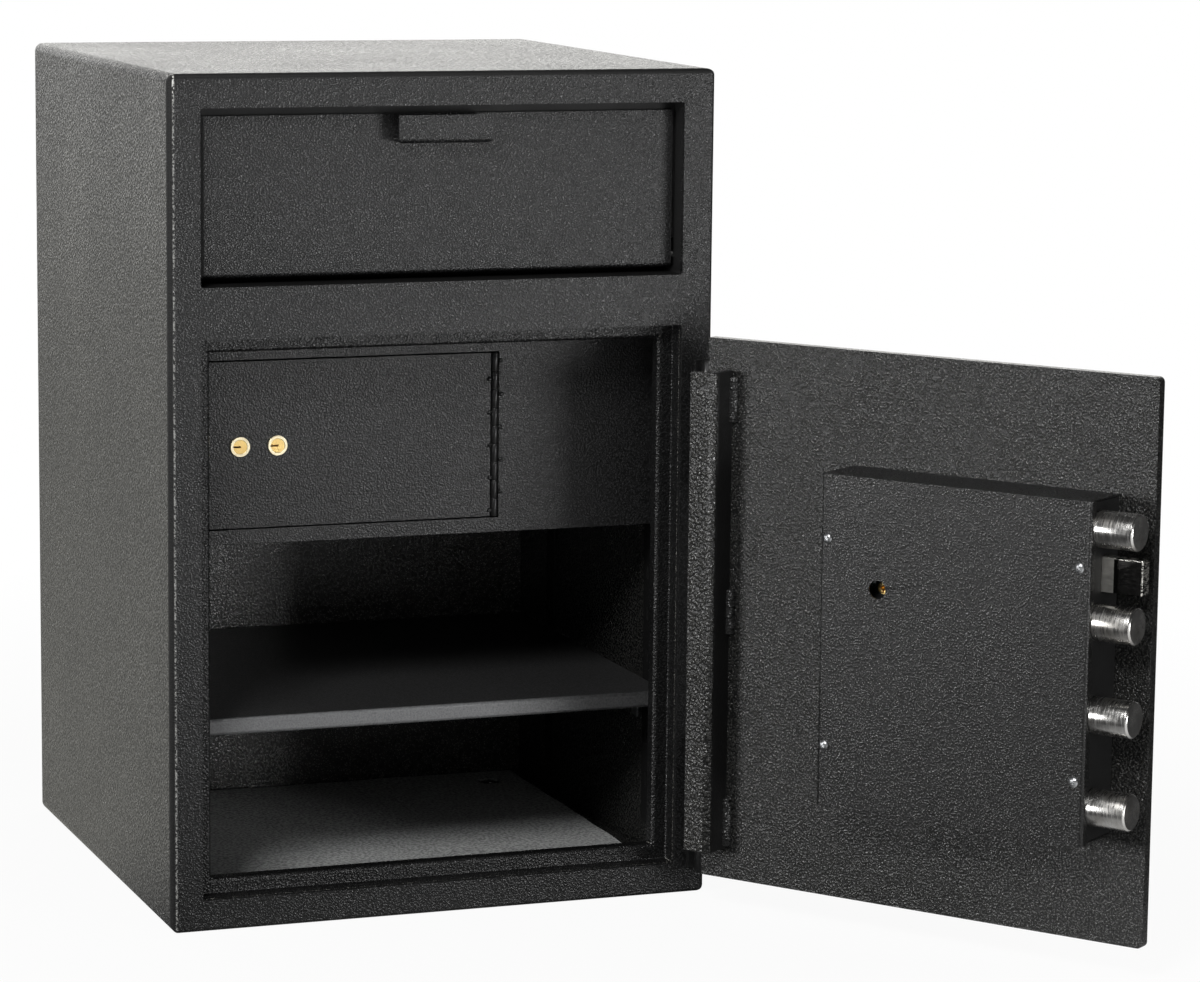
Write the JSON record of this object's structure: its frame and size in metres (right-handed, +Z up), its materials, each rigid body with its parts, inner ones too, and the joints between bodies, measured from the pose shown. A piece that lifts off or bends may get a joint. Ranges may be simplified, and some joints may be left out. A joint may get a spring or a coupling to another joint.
{
  "type": "drop_safe",
  "caption": "Drop safe with a tip-out deposit drawer above a bolted plate door that stands open on a shelf, a felt mat and an inner locker.",
  "frame": {"origin": "Centre of the cabinet's base", "axes": "X to the right, Y into the depth from the front, Z up"},
  "size_m": [0.7534, 0.9588, 0.762],
  "materials": {
    "coat": "textured powder coat, satin",
    "dark_coat": "powder coat, matte",
    "steel": "turned and ground, bright",
    "zinc": "zinc plated",
    "brass": "machined",
    "felt": "needle felt"
  },
  "bodies": {
    "cabinet": {"body_wrap": "coat", "back_panel": "coat", "front_frame": "coat", "door_jamb": "coat", "drawer_surround": "dark_coat", "chute_plate": "dark_coat", "fishing_baffle": "dark_coat", "locker_front": "coat", "locker_floor": "dark_coat", "locker_hinge_fixed": "dark_coat", "locker_hinge_pin": "steel", "shelf": "coat", "shelf_standards": "coat", "shelf_clips": "zinc", "floor_mat": "felt", "frame_hinge_leaves": "coat", "door_hinge_pins": "steel"},
    "main_door": {"door_plate": "coat", "door_hinge_leaves": "coat", "dead_bar": "coat", "dead_bar_welds": "coat", "hardplate": "steel", "lock_case": "zinc", "lock_case_screws": "zinc", "change_key_bush": "brass", "bolt_guide": "dark_coat", "carriage_studs": "steel", "cover_posts": "zinc", "boltwork_cover": "coat", "cover_screws": "zinc", "dial_ring": "steel", "handle_escutcheon": "steel"},
    "bolt_work": {"locking_bolts": "steel", "bolt_bar": "zinc", "latch_block": "steel"},
    "handle": {"handle_lever": "zinc", "handle_spindle": "steel", "handle_cam": "zinc"},
    "dial": {"dial": "dark_coat", "dial_spindle": "steel"},
    "deposit_drawer": {"drawer_front": "coat", "drawer_pull": "coat", "drawer_sides": "dark_coat", "drawer_tray": "dark_coat", "drawer_pivots": "steel"},
    "locker_door": {"locker_door_panel": "coat", "locker_hinge_door": "dark_coat", "locker_lock_case": "zinc", "locker_lock_noses": "brass"},
    "locker_bolt": {"locker_bolt": "steel"},
    "guard_plug": {"guard_plug": "brass"},
    "holder_plug": {"holder_plug": "brass"}
  },
  "joints": [
    {"name": "main_door_hinge", "type": "hinge", "parent": "cabinet", "child": "main_door", "pos_m": [0.2465, -0.27, 0.2785], "axis": [0, 0, 1], "range_deg": [-126, 50]},
    {"name": "bolt_slide", "type": "slide", "parent": "main_door", "child": "bolt_work", "axis": [0.5878, -0.809, 0], "range_m": [-0.026, 0]},
    {"name": "handle_turn", "type": "hinge", "parent": "main_door", "child": "handle", "pos_m": [0.42413, -0.57913, 0.2785], "axis": [-0.809, -0.5878, 0], "range_deg": [0, 60]},
    {"name": "dial_turn", "type": "hinge", "parent": "main_door", "child": "dial", "pos_m": [0.36065, -0.49176, 0.3065], "axis": [-0.809, -0.5878, 0], "continuous": true},
    {"name": "drawer_tilt", "type": "hinge", "parent": "cabinet", "child": "deposit_drawer", "pos_m": [0, -0.224, 0.592], "axis": [1, 0, 0], "range_deg": [0, 50]},
    {"name": "locker_door_hinge", "type": "hinge", "parent": "cabinet", "child": "locker_door", "pos_m": [0.0755, -0.168, 0.4235], "axis": [0, 0, 1], "range_deg": [0, 100]},
    {"name": "locker_bolt_slide", "type": "slide", "parent": "locker_door", "child": "locker_bolt", "axis": [-1, 0, 0], "range_m": [0, 0.008]},
    {"name": "guard_plug_turn", "type": "hinge", "parent": "locker_door", "child": "guard_plug", "pos_m": [-0.1665, -0.165, 0.422], "axis": [0, -1, 0], "range_deg": [0, 90]},
    {"name": "holder_plug_turn", "type": "hinge", "parent": "locker_door", "child": "holder_plug", "pos_m": [-0.1315, -0.165, 0.422], "axis": [0, -1, 0], "range_deg": [0, 90]}
  ],
  "couplings": [
    {"joint": "handle_turn", "follows": "bolt_slide", "rad_per_m": -40.277},
    {"joint": "holder_plug_turn", "follows": "locker_bolt_slide", "rad_per_m": 196.35}
  ]
}
